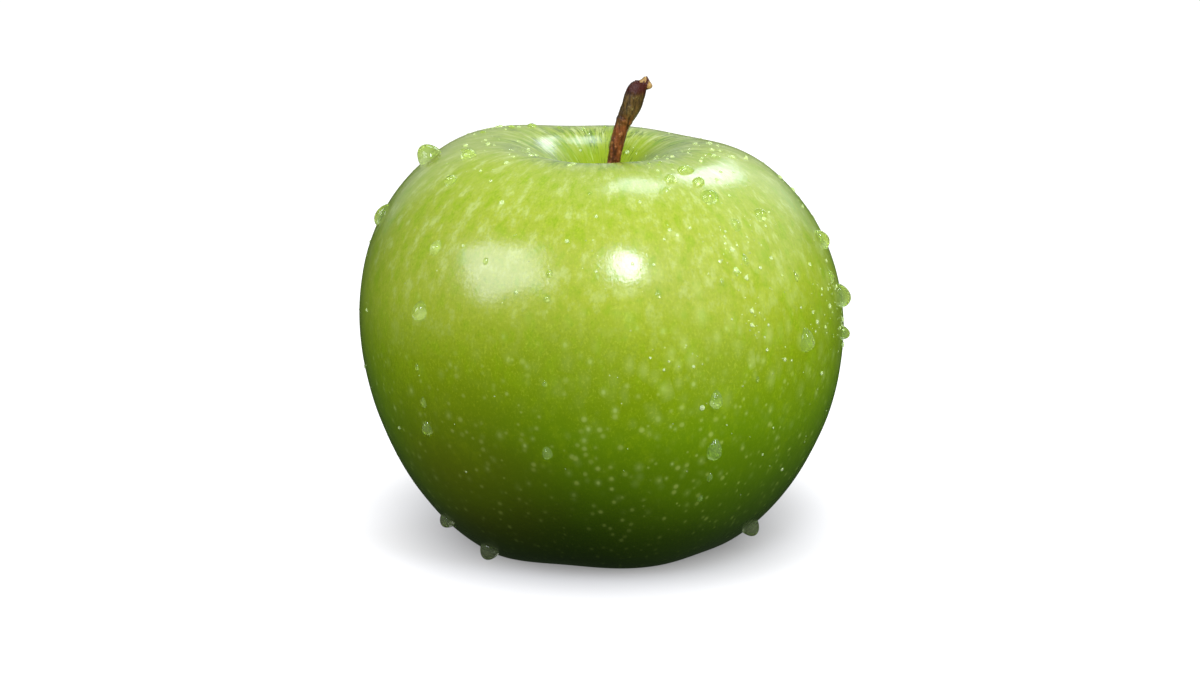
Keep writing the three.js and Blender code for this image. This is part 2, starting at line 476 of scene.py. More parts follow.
def make_skin_material(specks, meridians):
    """Waxed green skin: mottled ground, pale streaks and pores, fine lines by the stem, with
    painted shade towards the base and at the edges, and painted sheen on the right and in the
    hollow.
    """
    material, net, shader = new_material("waxed green skin")
    place = net.out(net.add("ShaderNodeTexCoord"), "Object")
    x, y, z = net.separate(place)

    def along_meridians(stretch):
        return net.out(placed(net, meridians, Vector=place, Stretch=stretch))

    radius = net.out(placed(net, meridians, Vector=place), "Radius")

    # Green from the base up to the shoulders, darkened towards the base as painted shade.
    cloud = net.noise(place, 55.0, 3.0) - 0.5
    share = z / FULL_HEIGHT + cloud * 0.13
    ramp = net.add("ShaderNodeValToRGB", Fac=share)
    stops = ramp.color_ramp.elements
    while len(stops) < len(SKIN_GROUND_AND_PAINTED_SHADE):
        stops.new(0.5)
    for stop, (position, tone) in zip(stops, SKIN_GROUND_AND_PAINTED_SHADE):
        stop.position = position
        stop.color = (*tone, 1)
    colour = net.out(ramp, "Color")

    # Mottling: deep yellow-green patches and pale ones, a little longer than wide.
    patches = net.noise(along_meridians(1.3), 400.0, 5.0, 0.68)
    deep = net.step(patches, 0.50, 0.64) * net.step(share, 0.15, 0.6)
    colour = net.mix(deep * 0.65, colour, SKIN_TONES["deep patch"])
    haze = net.step(patches, 0.50, 0.32) * net.step(share, 0.50, 0.85)
    colour = net.mix(haze * 0.48, colour, SKIN_TONES["pale patch"])
    grain = net.noise(along_meridians(1.3), 2600.0, 3.0, 0.7)
    grainy = net.step(share, 0.25, 0.60) * 0.8 + 0.2
    light, dark = net.step(grain, 0.52, 0.72), net.step(grain, 0.48, 0.30)
    colour = net.mix(light * grainy * 0.30, colour, SKIN_TONES["light grain"])
    colour = net.mix(dark * grainy * 0.24, colour, SKIN_TONES["dark grain"])

    # Pale streaks at mid height, most of them on the right: the skin's own streaks, made stronger
    # on the right as a painted sheen.
    streaks = placed(net, specks, Vector=along_meridians(1.5), Spacing=0.0023,
                     Core=0.0009, Halo=0.0017, Bare_share=0.1)
    streak_and_sheen = net.out(streaks, "Core") * 0.07 + net.out(streaks, "Halo") * 0.15
    side = net.step(x + cloud * 0.02, -0.02, 0.02) * 0.8 + 0.2
    belt = net.step(share, 0.34, 0.56) * net.step(share, 0.95, 0.7)
    colour = net.mix(streak_and_sheen * side * belt, colour, SKIN_TONES["streak_and_sheen"])

    # Pores: fewer and larger above, small and close below; at the base they are darker, in the
    # painted shade there.
    large = placed(net, specks, Vector=along_meridians(1.2), Spacing=0.0026,
                   Core=0.00045, Halo=0.0010, Bare_share=0.1)
    large_zone = net.step(share, 0.15, 0.30) * net.step(share, 0.85, 0.45)
    large_mask = (net.out(large, "Core") * 0.32 + net.out(large, "Halo") * 0.24) * large_zone
    colour = net.mix(large_mask, colour, SKIN_TONES["large pore"])
    small = placed(net, specks, Vector=along_meridians(1.0), Spacing=0.00180,
                   Core=0.00052, Halo=0.0009, Bare_share=0.1)
    small_zone = net.step(share, 0.66, 0.42)
    small_mask = (net.out(small, "Core") * 0.42 + net.out(small, "Halo") * 0.16) * small_zone
    pore = net.mix(net.step(share, 0.02, 0.25), SKIN_TONES["pore in the painted shade at the base"],
                   SKIN_TONES["small pore"])
    colour = net.mix(small_mask, colour, pore)

    # The stem hollow: a deep green floor with pale patches of painted sheen of wet skin, pale and
    # green slopes, hair-thin dark lines.
    top = net.step(z, 0.050, 0.056)
    slope = net.noise(along_meridians(3.2), 380.0, 4.0, 0.65)
    near_stem = net.step(radius, 0.022, 0.012) * top
    colour = net.mix(near_stem * net.step(slope, 0.50, 0.60) * 0.85, colour,
                     SKIN_TONES["green slope"])
    colour = net.mix(near_stem * net.step(slope, 0.46, 0.36) * 0.5, colour,
                     SKIN_TONES["pale slope"])
    floor_share = net.step(radius + (slope - 0.5) * 0.006, 0.0120, 0.0070) * top
    colour = net.mix(floor_share * 0.85, colour, SKIN_TONES["hollow floor"])
    # Pale patches of painted sheen, as of wet skin, on the hollow floor.
    wet = net.step(slope, 0.60, 0.66) * floor_share
    colour = net.mix(wet * 0.5, colour, SKIN_TONES["painted wet sheen"])
    hairs = net.noise(along_meridians(2.6), 360.0, 2.5, 0.65)
    hair = net.step(net.math("ABSOLUTE", hairs - 0.5), 0.040, 0.012)
    round_stem = net.step(radius, 0.023, 0.014) * net.step(radius, 0.003, 0.006) * top
    some = net.step(net.noise(place, 190.0, 2.0), 0.40, 0.52)
    colour = net.mix(hair * round_stem * some * 0.7, colour, SKIN_TONES["hollow line"])

    # A faint brown blush low on the left.
    blush_place = net.vector("SUBTRACT", place, (-0.024, -0.027, 0.019))
    blush = net.step(net.vector("LENGTH", blush_place) + cloud * 0.012, 0.024, 0.002)
    colour = net.mix(blush * 0.40, colour, SKIN_TONES["blush"])

    # Dry russet round the eye, in the basin underneath.
    eye = net.step(radius + (slope - 0.5) * 0.006, 0.0085, 0.0040) * net.step(z, 0.020, 0.014)
    colour = net.mix(eye * 0.80, colour, SKIN_TONES["russet"])

    # Below the shoulders the skin is darkened and turned greener towards the sides, and deep
    # green edge on: painted shade that grows as the skin turns away from the view.
    below = net.step(share, 1.0, 0.80)
    side_shade = net.out(net.add("ShaderNodeLayerWeight", Blend=0.5), "Facing") ** 2.0
    colour = net.mix(side_shade * below, colour, SKIN_TONES["painted side shade"], blend="MULTIPLY")
    edge = net.out(net.add("ShaderNodeLayerWeight", Blend=0.22), "Facing") ** 3.0
    colour = net.mix(edge * (below * 0.65 + 0.10), colour, SKIN_TONES["edge"])

    net.feed(shader, "Base Color", colour)
    dull = net.noise(place, 500.0, 3.0, 0.6)
    net.feed(shader, "Roughness", dull * 0.16 + 0.34)
    shader.inputs["IOR"].default_value = 1.45
    shader.inputs["Specular IOR Level"].default_value = 0.12
    shader.inputs["Coat Weight"].default_value = 0.9
    shader.inputs["Coat IOR"].default_value = 1.55
    shader.inputs["Coat Roughness"].default_value = 0.19
    peel = net.noise(place, 1700.0, 2.0, 0.5) + net.noise(place, 300.0, 2.0)
    rough = bump(net, peel + net.out(small, "Core") * 0.4, 0.000022)
    net.feed(shader, "Normal", rough)
    net.feed(shader, "Coat Normal", rough)
    return material


def make_water_material(name, clearness, roughness):
    """Water, a little darker where a bead faces up than where it hangs: painted shade above and
    painted light below, as a bead focuses light onto its lower side.
    """
    material, net, shader = new_material(name)
    place = net.out(net.add("ShaderNodeTexCoord"), "Object")
    ripple = net.noise(place, 500.0, 1.0)
    facing_up = net.separate(net.out(net.add("ShaderNodeNewGeometry"), "Normal"))[2]
    painted_light_below = net.step(facing_up + (ripple - 0.5) * 0.3, 0.85, -0.25)
    tone = net.mix(painted_light_below, (0.72, 0.86, 0.46, 1), (0.92, 1.0, 0.70, 1))
    net.feed(shader, "Base Color", tone)
    shader.inputs["Roughness"].default_value = roughness
    shader.inputs["IOR"].default_value = 1.333
    shader.inputs["Transmission Weight"].default_value = clearness
    return material


# The bark from the hollow up to the broken end, as linear light.
BARK_TONES = {
    "dark bark": (0.040, 0.011, 0.004, 1),
    "red bark": (0.165, 0.048, 0.012, 1),
    "light patch": (0.40, 0.17, 0.06, 1),
    "dark knob": (0.020, 0.012, 0.004, 1),
    "olive knob": (0.095, 0.055, 0.014, 1),
    "pale wart": (0.26, 0.20, 0.07, 1),
    "red rim": (0.034, 0.004, 0.003, 1),
    "crack": (0.010, 0.005, 0.002, 1),
    "wood grain": (0.10, 0.05, 0.012, 1),
    "wood": (0.42, 0.27, 0.09, 1),
    # painted shade at the edges
    "edge": (0.008, 0.003, 0.002, 1),
}


def make_bark_material():
    """Wet brown bark, olive at the knob and pale inside the broken end."""
    material, net, shader = new_material("stem bark")
    place = net.out(net.add("ShaderNodeTexCoord"), "Object")
    z = net.separate(place)[2]
    along = net.add("ShaderNodeMapping", Vector=place, Scale=(1.0, 1.0, 0.14))
    fibre = net.noise(net.out(along), 1900.0, 4.0, 0.7)
    patch = net.noise(place, 700.0, 4.0, 0.65)
    low = net.mix(net.step(fibre, 0.34, 0.62), BARK_TONES["dark bark"], BARK_TONES["red bark"])
    low = net.mix(net.step(patch, 0.58, 0.70) * 0.6, low, BARK_TONES["light patch"])
    high = net.mix(net.step(fibre, 0.38, 0.64), BARK_TONES["dark knob"], BARK_TONES["olive knob"])
    high = net.mix(net.step(patch, 0.60, 0.68) * 0.5, high, BARK_TONES["pale wart"])
    colour = net.mix(net.step(z + (patch - 0.5) * 0.006, 0.0695, 0.0735), low, high)
    colour = net.mix(net.step(z, 0.0755, 0.0768) * 0.85, colour, BARK_TONES["red rim"])
    colour = net.mix(net.step(patch, 0.44, 0.34) * 0.7, colour, BARK_TONES["crack"])
    broken = net.out(net.add("ShaderNodeAttribute", {"attribute_name": "broken"}), "Fac")
    wood = net.mix(fibre, BARK_TONES["wood grain"], BARK_TONES["wood"])
    colour = net.mix(net.step(broken, 0.35, 0.65), colour, wood)
    # Painted shade: the bark darkens towards its edges as it turns away from the view.
    edge = net.out(net.add("ShaderNodeLayerWeight", Blend=0.4), "Facing") ** 2.0
    colour = net.mix(edge * 0.8, colour, BARK_TONES["edge"])
    net.feed(shader, "Base Color", colour)
    net.feed(shader, "Roughness", patch * 0.3 + 0.18)
    shader.inputs["Specular IOR Level"].default_value = 0.25
    net.feed(shader, "Normal", bump(net, fibre + patch, 0.00022))
    return material


def make_dried_material():
    """Withered brown leaf."""
    material, net, shader = new_material("dried calyx")
    place = net.out(net.add("ShaderNodeTexCoord"), "Object")
    fuzz = net.noise(place, 1800.0, 4.0, 0.7)
    patch = net.noise(place, 420.0, 2.0)
    colour = net.mix(fuzz, rgb(46, 32, 16), rgb(134, 104, 62))
    colour = net.mix(net.step(patch, 0.45, 0.65) * 0.5, colour, rgb(92, 98, 44))
    net.feed(shader, "Base Color", colour)
    net.feed(shader, "Roughness", fuzz * 0.2 + 0.75)
    net.feed(shader, "Normal", bump(net, fuzz, 0.00015))
    return material


# ---- Pieces made point by point -----------------------------------------------------


def closed_shell(name, rows, columns, place):
    """A closed mesh object. place(share, turn) gives its points: share runs from 0 at one
    pole to 1 at the other, and turn goes anticlockwise round the axis that points to 0."""
    points = [place(0.0, 0.0)]
    for row in range(1, rows):
        for column in range(columns):
            points.append(place(row / rows, 2 * math.pi * column / columns))
    points.append(place(1.0, 0.0))
    last = len(points) - 1

    def at(row, column):
        return 1 + (row - 1) * columns + column % columns

    faces = [(0, at(1, c), at(1, c + 1)) for c in range(columns)]
    for row in range(1, rows - 1):
        for c in range(columns):
            faces.append((at(row, c), at(row + 1, c), at(row + 1, c + 1), at(row, c + 1)))
    faces += [(last, at(rows - 1, c + 1), at(rows - 1, c)) for c in range(columns)]
    mesh = bpy.data.meshes.new(name)
    mesh.from_pydata(points, [], faces)
    mesh.shade_smooth()
    piece = bpy.data.objects.new(name, mesh)
    bpy.context.scene.collection.objects.link(piece)
    return piece


def along_spline(values, share):
    """A smooth value through the listed ones, which are evenly spaced from share 0 to 1."""
    place = max(0.0, min(1.0, share)) * (len(values) - 1)
    first = min(int(place), len(values) - 2)
    t = place - first
    a, b, c, d = (values[min(max(first + k, 0), len(values) - 1)] for k in (-1, 0, 1, 2))
    return (b * 2 + (c - a) * t + (a * 2 - b * 5 + c * 4 - d) * t * t
            + (b * 3 - a - c * 3 + d) * t**3) * 0.5


def hump(value, middle, reach):
    """1 at the middle and 0 from reach away, smooth between."""
    away = min(1.0, abs(value - middle) / reach)
    return (1 - away * away) ** 2


# The stem from its foot in the flesh to its broken end, in millimetres.
STEM_PATH = [
    Vector((-1.1, 0, 54.6)),
    Vector((-0.2, 0.25, 59.0)),
    Vector((1.45, 0.4, 62.9)),
    Vector((2.25, 0.3, 66.9)),
    Vector((3.3, 0.15, 70.8)),
    Vector((4.85, 0, 74.5)),
    Vector((6.2, 0, 78.1)),
]
STEM_RADII = [1.5, 1.32, 1.18, 1.1, 1.05, 1.05, 1.1, 1.16, 1.2, 1.3, 1.52, 1.66, 1.58, 0.98]


def make_stem(shift, bark):
    """A round twig with a knob, small warts and a torn end, whose pale wood shows."""
    end_share = 0.06
    # Places along the twig, from 0 at its foot to 1 at its end, and round it in radians.
    scar, knob, flap_place = 0.70, 0.80, 0.972
    flap_turn, splinter_turn = 0.1, 0.7
    torn = {}

    def place(share, turn):
        up = 1 - max(0.0, share - end_share) / (1 - end_share)
        centre = along_spline(STEM_PATH, up)
        tangent = along_spline(STEM_PATH, up + 0.01) - along_spline(STEM_PATH, up - 0.01)
        tangent.normalize()
        side = Vector((0, 1, 0)).cross(tangent).normalized()
        front = tangent.cross(side)
        around = side * math.cos(turn) + front * math.sin(turn)
        spot = centre * 0.9 + around * 1.4
        rough = noise.noise(spot * 1.1) * 0.09 + noise.noise(spot * 3.1) * 0.045
        ridges = 0.03 * math.sin(7 * turn + 2 * noise.noise(centre * 0.5))
        radius = along_spline(STEM_RADII, up) + rough + ridges
        radius += 0.07 * hump(up, scar, 0.02)
        radius += 0.12 * hump(up, knob, 0.10) * math.cos(turn)
        flap = hump(up, flap_place, 0.03) * max(0.0, math.cos(turn - flap_turn)) ** 10
        radius += 1.05 * flap
        closing = min(1.0, share / end_share) * min(1.0, (1 - share) * 40)
        splinter = max(0.0, math.cos(turn - splinter_turn)) ** 4
        slant = 0.95 * splinter + 0.25 * math.cos(turn)
        if share <= end_share:
            fibres = noise.noise(Vector((around.x * 3, around.y * 3, share * 60)))
            tear = (0.5 * fibres + slant) * closing
        else:
            tear = hump(up, 1.0, 0.05) * slant
            tear += hump(up, 1.0, 0.02) * 0.4 * noise.noise(around * 4)
        point = centre + around * radius * closing + tangent * tear
        point = point * MM + shift
        inside = 1.0 if share < end_share * 0.9 and math.cos(turn) > -0.4 else 0.0
        torn[tuple(round(c, 8) for c in point)] = max(inside, min(1.0, 1.6 * flap))
        return point

    piece = closed_shell("stem_twig", rows=190, columns=56, place=place)
    mesh = piece.data
    broken = mesh.attributes.new("broken", "FLOAT", "POINT")
    for vertex, value in zip(mesh.vertices, broken.data):
        value.value = torn.get(tuple(round(c, 8) for c in vertex.co), 0.0)
    mesh.materials.append(bark)
    return piece


class Surface:
    """The fruit's skin, to find places on it."""

    def __init__(self, piece):
        mesh = piece.data
        points = [v.co for v in mesh.vertices]
        self.tree = BVHTree.FromPolygons(points, [p.vertices for p in mesh.polygons])

    def nearest(self, point):
        place, normal, _, _ = self.tree.find_nearest(point)
        return place, normal

    def below(self, point, direction):
        place, normal, _, _ = self.tree.ray_cast(point, direction)
        if place is None:
            return self.nearest(point)
        return place, normal


def make_bead(name, surface, place, normal, wide, long, tall, water):
    """A water bead that clings to the skin, fuller at its lower end, with its underside
    just below the skin so that no gap shows."""
    downhill = Vector((0, 0, -1)) - normal * -normal.z
    downhill = downhill.normalized() if downhill.length > 0.1 else Vector((1, 0, 0))
    sideways = normal.cross(downhill)
    bury = 0.12 * MM
    dome_share = 0.8
    seed = Vector(place) * 400
    hang = 0.22 * downhill.dot(Vector((0, 0, -1)))

    def point_of(share, turn):
        climb = max(0.0, 1 - share / dome_share) * math.pi / 2
        under = max(0.0, (share - dome_share) / (1 - dome_share))
        spread = 1 - under if under > 0 else math.cos(climb)
        wobble = 1 + 0.10 * noise.noise(seed + Vector((math.cos(turn), math.sin(turn), 0)))
        down = spread * math.cos(turn) * wobble
        across = spread * math.sin(turn) * wobble * (1 + hang * down)
        over = place + normal * 2 * tall + downhill * (down * long / 2)
        over += sideways * (across * wide / 2)
        foot, local = surface.below(over, -normal)
        dome = 0.0 if under > 0 else tall * math.sin(climb) ** 1.3 * (1 + 0.9 * hang * down)
        lift = (normal + local).normalized()
        return foot + lift * (dome - bury)

    piece = closed_shell(name, rows=20, columns=30, place=point_of)
    piece.data.materials.append(water)
    return piece


def bead_from_solid(number, surface, water):
    """The bead that stands for a packed one, as wide, long and tall as it."""
    node = f"water_bead_{number:02d}"
    points = [v.co.copy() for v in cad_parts[node].data.vertices]
    low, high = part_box(node)
    place, normal = surface.nearest((low + high) / 2)
    downhill = (Vector((0, 0, -1)) - normal * -normal.z).normalized()
    sideways = normal.cross(downhill)
    spans = []
    for axis in (sideways, downhill):
        reach = [p.dot(axis) for p in points]
        spans.append(max(reach) - min(reach))
    tall = max((p - place).dot(normal) for p in points)
    bead = make_bead(f"bead_{number:02d}", surface, place, normal, *spans, tall, water)
    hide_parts(node)
    return bead


# Smaller beads: degrees round the axis, height, width, length and thickness, in millimetres.
SMALL_BEADS = [
    (-120, 53.3, 1.0, 1.4, 0.4),
    (-103, 52.0, 1.2, 1.5, 0.5),
    (-103, 48.3, 1.3, 1.5, 0.5),
    (-51, 52.8, 1.3, 2.4, 0.6),
    (-55, 51.4, 1.3, 1.7, 0.6),
    (-60, 50.1, 0.9, 1.5, 0.5),
    (-34, 49.0, 1.2, 1.9, 0.6),
    (-14, 47.0, 1.5, 2.4, 0.7),
    (-77, 49.0, 1.1, 1.6, 0.4),
    (-136, 35.6, 0.9, 1.4, 0.4),
    (-135, 29.8, 1.1, 2.0, 0.5),
    (-103, 35.0, 1.0, 1.1, 0.3),
    (-62, 18.4, 1.1, 1.6, 0.6),
    (-63, 14.6, 1.0, 1.4, 0.5),
    (-52, 34.2, 0.8, 1.2, 0.4),
    (12, 52.0, 1.2, 1.8, 0.5),
    (47, 30.0, 1.3, 2.0, 0.6),
    (112, 44.0, 1.2, 2.1, 0.6),
    (141, 27.0, 1.1, 1.7, 0.5),
    (168, 47.0, 1.2, 1.8, 0.5),
]


# Beads on the shoulders: degrees round the axis, distance from it, width, length, thickness.
SHOULDER_BEADS = [
    (134, 17.8, 1.5, 1.9, 0.6),
    (147, 18.8, 1.1, 1.3, 0.5),
    (119, 15.9, 1.0, 1.2, 0.4),
    (105, 14.1, 1.2, 1.4, 0.6),
    (90, 15.5, 0.9, 1.0, 0.3),
    (-58, 17.0, 0.9, 0.9, 0.3),
    (-62, 18.4, 0.8, 0.8, 0.3),
    (-66, 17.4, 0.7, 0.8, 0.3),
    (-55, 18.8, 0.9, 1.0, 0.35),
    (-22, 18.5, 0.8, 0.9, 0.3),
    (-95, 26.5, 0.9, 1.0, 0.3),
    (162, 21.5, 1.0, 1.2, 0.35),
    (-168, 24.0, 0.8, 0.9, 0.3),
]


def make_small_beads(surface, shift, water):
    """The beads that are too small for solids, set down on the skin from outside."""
    far = 0.2
    beads = []
    for number, (turn, height, wide, long, tall) in enumerate(SMALL_BEADS, start=1):
        heading = math.radians(turn)
        outward = Vector((math.cos(heading), math.sin(heading), 0))
        start = Vector((shift.x, shift.y, height * MM))
        place, normal = surface.below(start + outward * far, -outward)
        sizes = (wide * MM, long * MM, tall * MM)
        name = f"small_bead_{number:02d}"
        beads.append(make_bead(name, surface, place, normal, *sizes, water))
    for number, (turn, away, wide, long, tall) in enumerate(SHOULDER_BEADS, start=1):
        heading = math.radians(turn)
        above = Vector((math.cos(heading) * away * MM, math.sin(heading) * away * MM, far))
        place, normal = surface.below(above, Vector((0, 0, -1)))
        sizes = (wide * MM, long * MM, tall * MM)
        name = f"shoulder_bead_{number:02d}"
        beads.append(make_bead(name, surface, place, normal, *sizes, water))
    return beads


# ---- Pieces that repeat -------------------------------------------------------------


def droplet_tree():
    """Geometry Nodes: fine spray over the skin, thickest on the right and the shoulders."""
    inputs = {
        "Geometry": (GEOMETRY, None),
        "Thin spray": (FLOAT, 12000.0),
        "Thick spray": (FLOAT, 300000.0),
        "Smallest": (FLOAT, 0.00010),
        "Largest": (FLOAT, 0.00050),
        "Flatness": (FLOAT, 0.55),
        "Seed": ("NodeSocketInt", 4),
        "Water": ("NodeSocketMaterial", None),
    }
    tree, net, given, end = new_group(
        "Fine spray", "GeometryNodeTree", inputs, {"Geometry": GEOMETRY}
    )
    place = net.out(net.add("GeometryNodeInputPosition"))
    x, y, z = net.separate(place)
    right = net.step(x + net.noise(place, 40.0) * 0.02, 0.004, 0.026)
    top = net.step(z, 0.064, 0.068)
    high = net.step(z, 0.030, 0.046)
    patches = net.step(net.noise(place, 90.0, 2.0), 0.42, 0.62)
    off_floor = net.step(z, 0.010, 0.020)
    wet = net.math("MAXIMUM", right * high, top * 0.8) * patches
    density = (given["Thin spray"] + given["Thick spray"] * wet) * off_floor
    spread = net.add(
        "GeometryNodeDistributePointsOnFaces",
        Mesh=given["Geometry"],
        Density=density,
        Seed=given["Seed"],
    )
    chance = net.add("FunctionNodeRandomValue", {"data_type": "FLOAT"}, Seed=given["Seed"])
    size = net.out(chance) ** 4.0 * (given["Largest"] - given["Smallest"]) + given["Smallest"]
    ball = net.add("GeometryNodeMeshUVSphere", Segments=10, Rings=6, Radius=1.0)
    own = net.out(net.add("GeometryNodeInputPosition"))
    low_side = net.separate(own)[0]
    swell = net.noise(own, 0.9, 1.0) * 0.35 + low_side * 0.14 + 0.82
    drop = net.add(
        "GeometryNodeSetPosition", Geometry=net.out(ball, "Mesh"), Position=net.scaled(own, swell)
    )
    placed_drops = net.add(
        "GeometryNodeInstanceOnPoints",
        Points=net.out(spread, "Points"),
        Instance=net.out(drop),
        Rotation=net.out(spread, "Rotation"),
        Scale=net.combine(size, size, size * given["Flatness"]),
    )
    real = net.add("GeometryNodeRealizeInstances", Geometry=net.out(placed_drops))
    smooth = net.add("GeometryNodeSetShadeSmooth", Geometry=net.out(real))
    painted = net.add("GeometryNodeSetMaterial", Geometry=net.out(smooth))
    net.feed(painted, "Material", given["Water"])
    net.feed(end, "Geometry", net.out(painted))
    return tree


def sepal_tree():
    """Geometry Nodes: one thin curled leaf, set round the basin five times."""
    inputs = {
        "Ring": (FLOAT, 0.0023),
        "Spread": (FLOAT, 0.0015),
        "Root": (FLOAT, 0.0010),
        "Hang": (FLOAT, 0.0040),
        "Width": (FLOAT, 0.0036),
        "Thickness": (FLOAT, 0.00035),
        "Curl": (FLOAT, 0.0007),
        "Leaf": ("NodeSocketMaterial", None),
    }
    tree, net, given, end = new_group(
        "Dried sepals", "GeometryNodeTree", inputs, {"Geometry": GEOMETRY}
    )
    taper, bow_turn, crumple, tip_crumple = 0.78, 2.4, 0.0003, 0.0006
    ball = net.add("GeometryNodeMeshUVSphere", Segments=24, Rings=40, Radius=1.0)
    place = net.out(net.add("GeometryNodeInputPosition"))
    x, y, z = net.separate(place)
    share = net.math("ARCCOSINE", net.math("MINIMUM", net.math("MAXIMUM", z, -1.0), 1.0))
    share = share / math.pi
    turn = net.math("ARCTAN2", y, x)
    edge = net.math("SINE", turn)
    closing = net.math("MINIMUM", net.math("MINIMUM", share * 6, (1 - share) * 6), 1.0)
    half_width = given["Width"] * (1 - share * taper) * closing * 0.5
    bow = given["Ring"] + given["Spread"] * net.math("SINE", share * bow_turn)
    curl = given["Curl"] * edge * edge * share
    fold = net.noise(place, 2.2, 3.0) - 0.5
    outward = bow + given["Thickness"] * net.math("COSINE", turn) * closing * 0.5 - curl
    outward = outward + fold * tip_crumple * share
    down = (given["Root"] + given["Hang"] * share) * -1.0 + fold * crumple
    shaped = net.add(
        "GeometryNodeSetPosition",
        Geometry=net.out(ball, "Mesh"),
        Position=net.combine(outward, half_width * edge, down),
    )
    ring = net.add("GeometryNodeMeshCircle", Vertices=SEPALS, Radius=1e-5)
    number = net.out(net.add("GeometryNodeInputIndex"))
    heading = (number + 0.5) * (2 * math.pi / SEPALS)
    chance = net.add("FunctionNodeRandomValue", {"data_type": "FLOAT"}, Min=0.88, Max=1.1)
    leaves = net.add(
        "GeometryNodeInstanceOnPoints",
        Points=net.out(ring),
        Instance=net.out(shaped),
        Rotation=net.combine(0.0, 0.0, heading),
        Scale=net.combine(1.0, net.out(chance), net.out(chance)),
    )
    real = net.add("GeometryNodeRealizeInstances", Geometry=net.out(leaves))
    smooth = net.add("GeometryNodeSetShadeSmooth", Geometry=net.out(real))
    painted = net.add("GeometryNodeSetMaterial", Geometry=net.out(smooth))
    net.feed(painted, "Material", given["Leaf"])
    net.feed(end, "Geometry", net.out(painted))
    return tree


def stamen_tree():
    """Geometry Nodes: withered threads in a ring, each bent its own way."""
    inputs = {
        "Threads": ("NodeSocketInt", 20),
        "Ring": (FLOAT, 0.0009),
        "Length": (FLOAT, 0.0026),
        "Thickness": (FLOAT, 0.00009),
        "Lean": (FLOAT, 0.35),
        "Thread": ("NodeSocketMaterial", None),
    }
    tree, net, given, end = new_group(
        "Dried stamens", "GeometryNodeTree", inputs, {"Geometry": GEOMETRY}
    )
    length = given["Length"]
    turn_step = 2.4  # radians from one thread to the next, so that neighbours differ
    thread = net.add(
        "GeometryNodeCurveQuadraticBezier",
        Resolution=8,
        Start=(0.0, 0.0, 0.0),
        Middle=net.combine(length * 0.18, 0.0, length * -0.55),
        End=net.combine(length * -0.05, 0.0, length * -1.0),
    )
    ring = net.add("GeometryNodeMeshCircle", Vertices=given["Threads"], Radius=given["Ring"])
    number = net.out(net.add("GeometryNodeInputIndex"))
    lean = net.add("FunctionNodeRandomValue", {"data_type": "FLOAT"}, Seed=3)
    size = net.add("FunctionNodeRandomValue", {"data_type": "FLOAT"}, Min=0.7, Max=1.0, Seed=5)
    tilt = net.out(lean) * given["Lean"]
    grown_threads = net.add(
        "GeometryNodeInstanceOnPoints",
        Points=net.out(ring),
        Instance=net.out(thread),
        Rotation=net.combine(tilt, tilt * 0.6, number * turn_step),
        Scale=net.combine(1.0, 1.0, net.out(size)),
    )
    real = net.add("GeometryNodeRealizeInstances", Geometry=net.out(grown_threads))
    section = net.add("GeometryNodeCurvePrimitiveCircle", Resolution=8, Radius=given["Thickness"])
    tubes = net.add(
        "GeometryNodeCurveToMesh", Curve=net.out(real), Profile_Curve=net.out(section)
    )
    net.feed(tubes, "Fill Caps", True)
    painted = net.add("GeometryNodeSetMaterial", Geometry=net.out(tubes))
    net.feed(painted, "Material", given["Thread"])
    net.feed(end, "Geometry", net.out(painted))
    return tree


# ---- The studio ---------------------------------------------------------------------

APPLE_MIDDLE = Vector((0, 0, 0.033))
LOW_LAMP = 20  # degrees; lamps below this light up the lower edges of the water
COOL = (0.72, 0.80, 1.0)


def softbox(name, azimuth, elevation, wide, high, power, shape="RECTANGLE", distance=0.6,
            glossy=True, roll=0, tone=(1, 1, 1)):
    """A soft lamp that faces the apple. Azimuth 0 is the front, 90 the right. Roll turns
    it about its own beam, and a lamp that is not glossy does not show in the skin."""
    turn, rise = math.radians(azimuth), math.radians(elevation)
    level = math.cos(rise)
    away = Vector((math.sin(turn) * level, -math.cos(turn) * level, math.sin(rise)))
    lamp = bpy.data.lights.new(name, "AREA")
    lamp.shape = shape
    lamp.size = wide
    lamp.size_y = high
    lamp.energy = power
    lamp.color = tone
    holder = bpy.data.objects.new(name, lamp)
    holder.location = APPLE_MIDDLE + away * distance
    facing = away.to_track_quat("Z", "Y") @ Quaternion((0, 0, 1), math.radians(roll))
    holder.rotation_euler = facing.to_euler()
    holder.visible_glossy = glossy
    holder.visible_transmission = glossy or elevation < LOW_LAMP
    bpy.context.scene.collection.objects.link(holder)
    return holder


def make_lamps():
    """Lamps that show in the skin, and broad fills that only brighten it."""
    softbox("left softbox", -51, 38.5, 0.32, 0.36, 2.5, roll=36, tone=(0.86, 0.87, 1.0))
    softbox("left top fill", -55, 40, 0.50, 0.50, 1.15, glossy=False)
    softbox("front lamp", 15, 50, 0.12, 0.21, 1.75, "ELLIPSE", roll=-15, tone=(0.78, 0.84, 1.0))
    softbox("back lamp", 164, 64, 0.15, 0.15, 0.48, tone=COOL)
    softbox("low back lamp", 155, 42, 0.13, 0.13, 0.34, tone=COOL)
    softbox("back panel", 180, 24, 0.90, 0.36, 0.36, tone=(0.85, 0.92, 1.0))
    softbox("back fill", 180, 45, 0.60, 0.40, 2.0, glossy=False)
    softbox("right rim", 125, 35, 0.80, 0.50, 0.8, distance=0.7, tone=(0.90, 0.95, 1.0))
    softbox("right fill", 62, 5, 0.50, 0.50, 2.75, glossy=False)
    softbox("right top fill", 50, 45, 0.50, 0.50, 4.6, glossy=False)
    softbox("left fill", -95, 15, 0.40, 0.50, 1.3, glossy=False)
    softbox("front fill", -10, 5, 0.50, 0.50, 1.15, glossy=False)


